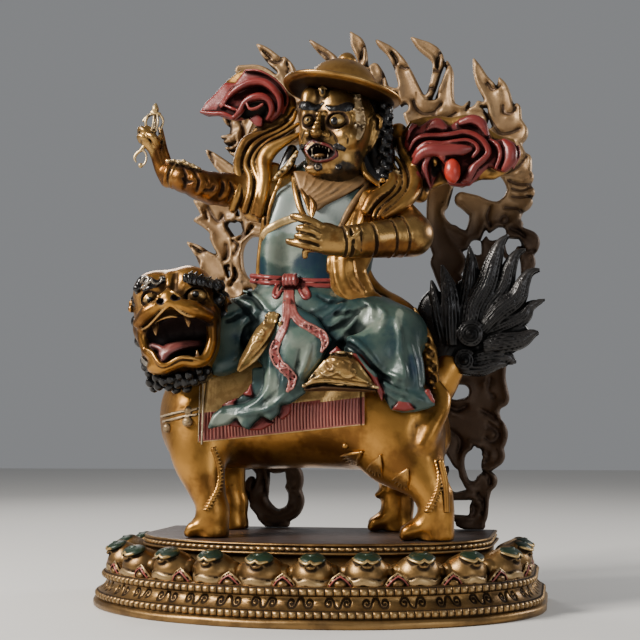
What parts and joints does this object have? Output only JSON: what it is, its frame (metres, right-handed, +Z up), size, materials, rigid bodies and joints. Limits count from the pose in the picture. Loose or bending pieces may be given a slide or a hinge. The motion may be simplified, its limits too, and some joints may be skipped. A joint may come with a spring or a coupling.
{
  "type": "rider on snow lion statue",
  "caption": "Gilt and painted cast statue of a wrathful rider on a snow lion before a pierced flame aureole, standing on a D-shaped lotus plinth.",
  "frame": {"origin": "centre of the plinth's underside, below the middle of its front curve's widest line", "axes": "+Z up, front faces -Y, +X to the viewer's right when facing the statue"},
  "size_m": [0.2505, 0.128, 0.333],
  "materials": {
    "plinth_bronze": "antique gold over dark bronze, worn on the edges",
    "lion_gilt": "antique gold, brown in the hollows, tail and beard painted black",
    "rider_paint": "blue-green enamel paint over gilt metal, with red hems and belt",
    "aureole_gilt": "matt pale gold with dark hollows",
    "vajra_gilt": "aged gold"
  },
  "bodies": {
    "root": {"lotus_plinth": "plinth_bronze", "snow_lion": "lion_gilt", "rider": "rider_paint", "flame_aureole": "aureole_gilt", "vajra": "vajra_gilt"}
  },
  "joints": []
}
